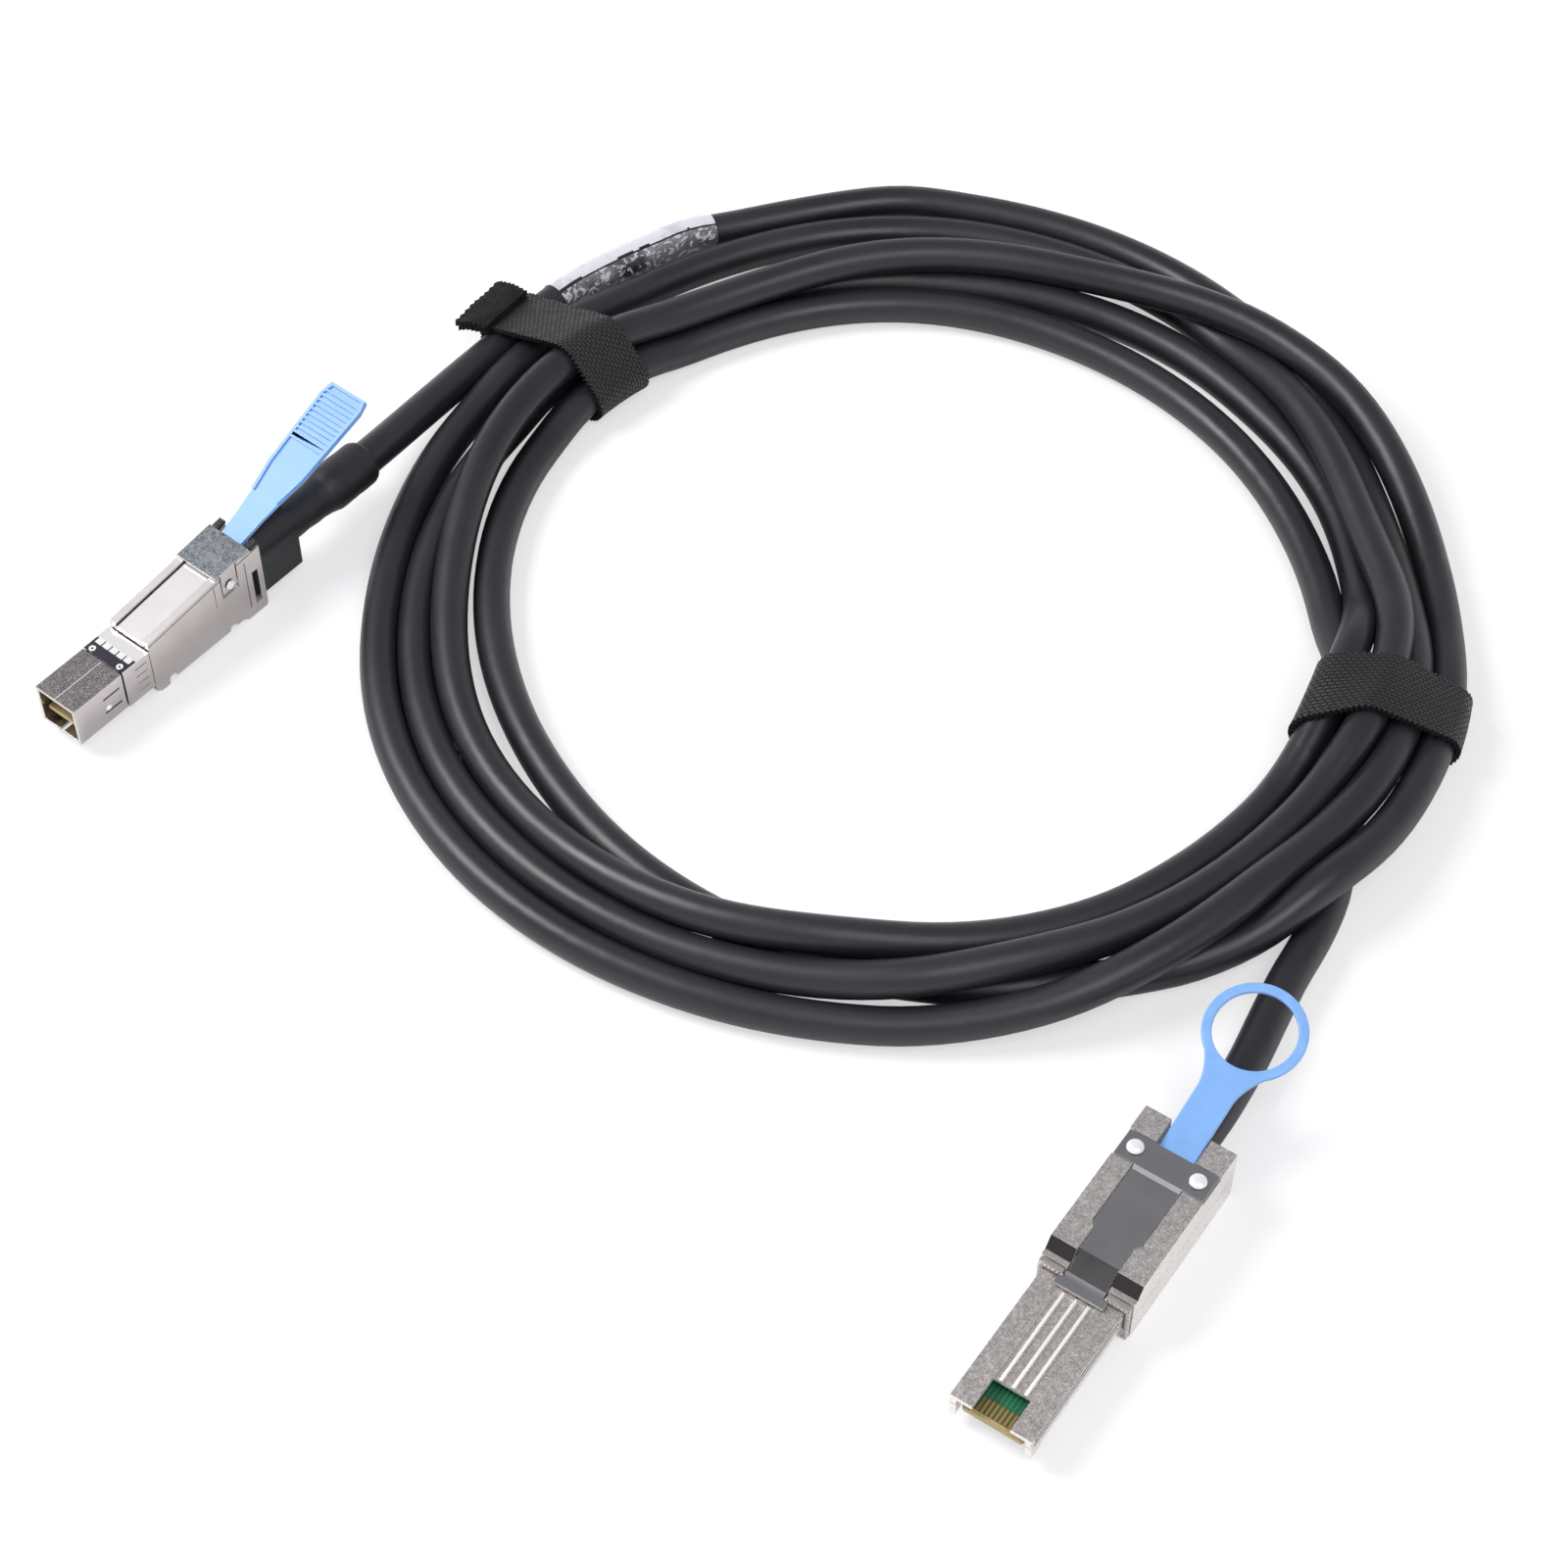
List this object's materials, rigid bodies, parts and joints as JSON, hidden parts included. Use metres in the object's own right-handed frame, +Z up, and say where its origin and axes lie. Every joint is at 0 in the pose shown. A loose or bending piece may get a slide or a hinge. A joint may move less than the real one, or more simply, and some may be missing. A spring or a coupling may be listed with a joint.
{
  "type": "external mini sas hd cable",
  "caption": "Coiled external server storage cable with a wide latch plug on one end, a tall latch plug on the other, blue pull tabs and hook-and-loop straps.",
  "frame": {"origin": "on the floor, under the middle of the box round the two plugs", "axes": "+Z up from the floor, +X to the right of the coil as it lies, +Y away from the wide plug across the coil"},
  "size_m": [0.3283, 0.3713, 0.0366],
  "materials": {
    "die_cast": "fine-grained die-cast, nickel plated",
    "stainless": "bright rolled sheet",
    "plated": "smooth bright nickel",
    "dark_plated": "grainy dark nickel",
    "blue_plastic": "light blue satin nylon",
    "black_rubber": "matt black jacket",
    "black_plastic": "matt black",
    "green_board": "green solder mask with gold contacts",
    "tan_board": "tan board edge",
    "wire_foil": "foil shield",
    "gasket_mesh": "beaded conductive gasket",
    "label_film": "white film under clear wrap",
    "strap_weave": "black hook-and-loop weave"
  },
  "bodies": {
    "cable_body": {"wide_lower_housing": "die_cast", "wide_upper_housing": "die_cast", "wide_latch_rivet_left": "stainless", "wide_latch_rivet_right": "stainless", "wide_shield_gasket": "gasket_mesh", "wide_paddle_card": "green_board", "wide_inner_mould": "black_plastic", "wide_crimp_ferrule": "plated", "wide_wire_pair_1": "wire_foil", "wide_wire_pair_2": "wire_foil", "wide_wire_pair_3": "wire_foil", "wide_wire_pair_4": "wire_foil", "wide_housing_screw_left": "stainless", "wide_housing_screw_right": "stainless", "tall_lower_housing": "plated", "tall_upper_housing": "plated", "tall_nose_shell": "dark_plated", "tall_shield_collar": "plated", "tall_cover_bracket": "dark_plated", "tall_bracket_rivet_left": "stainless", "tall_bracket_rivet_right": "stainless", "tall_grip_left": "black_plastic", "tall_grip_right": "black_plastic", "tall_lower_card": "tan_board", "tall_upper_card": "tan_board", "tall_card_holder": "black_plastic", "tall_inner_mould": "black_plastic", "tall_crimp_ring": "plated", "tall_wire_pair_1": "wire_foil", "tall_wire_pair_2": "wire_foil", "tall_wire_pair_3": "wire_foil", "tall_wire_pair_4": "wire_foil", "tall_boot": "black_rubber", "heat_shrink_sleeve": "black_rubber", "cable_left_lead": "black_rubber", "cable_right_lead": "black_rubber", "cable_coil": "black_rubber", "cable_label": "label_film", "strap_left": "strap_weave", "strap_right": "strap_weave"},
    "wide_tab": {"wide_pull_tab": "blue_plastic"},
    "wide_latch": {"wide_latch_plate": "stainless"},
    "tall_tab": {"tall_pull_tab": "blue_plastic"},
    "tall_latch": {"tall_latch_plate": "stainless"}
  },
  "joints": [
    {"name": "wide_tab_slide", "type": "slide", "parent": "cable_body", "child": "wide_tab", "axis": [0.565, 0.8251, 0], "range_m": [0, 0.003], "stiffness_N_per_m": 300},
    {"name": "wide_latch_lift", "type": "hinge", "parent": "cable_body", "child": "wide_latch", "pos_m": [0.10901, -0.07326, 0.0145], "axis": [-0.8251, 0.565, 0], "range_deg": [0, 3]},
    {"name": "tall_tab_slide", "type": "slide", "parent": "cable_body", "child": "tall_tab", "axis": [0.625, 0.7719, 0.1164], "range_m": [0, 0.0025], "stiffness_N_per_m": 300},
    {"name": "tall_latch_lift", "type": "hinge", "parent": "cable_body", "child": "tall_latch", "pos_m": [-0.10528, 0.0884, 0.01893], "axis": [-0.7771, 0.6293, 0], "range_deg": [0, 2.5]}
  ],
  "couplings": [
    {"joint": "wide_latch_lift", "follows": "wide_tab_slide", "rad_per_m": 17.4},
    {"joint": "tall_latch_lift", "follows": "tall_tab_slide", "rad_per_m": 17.4}
  ]
}
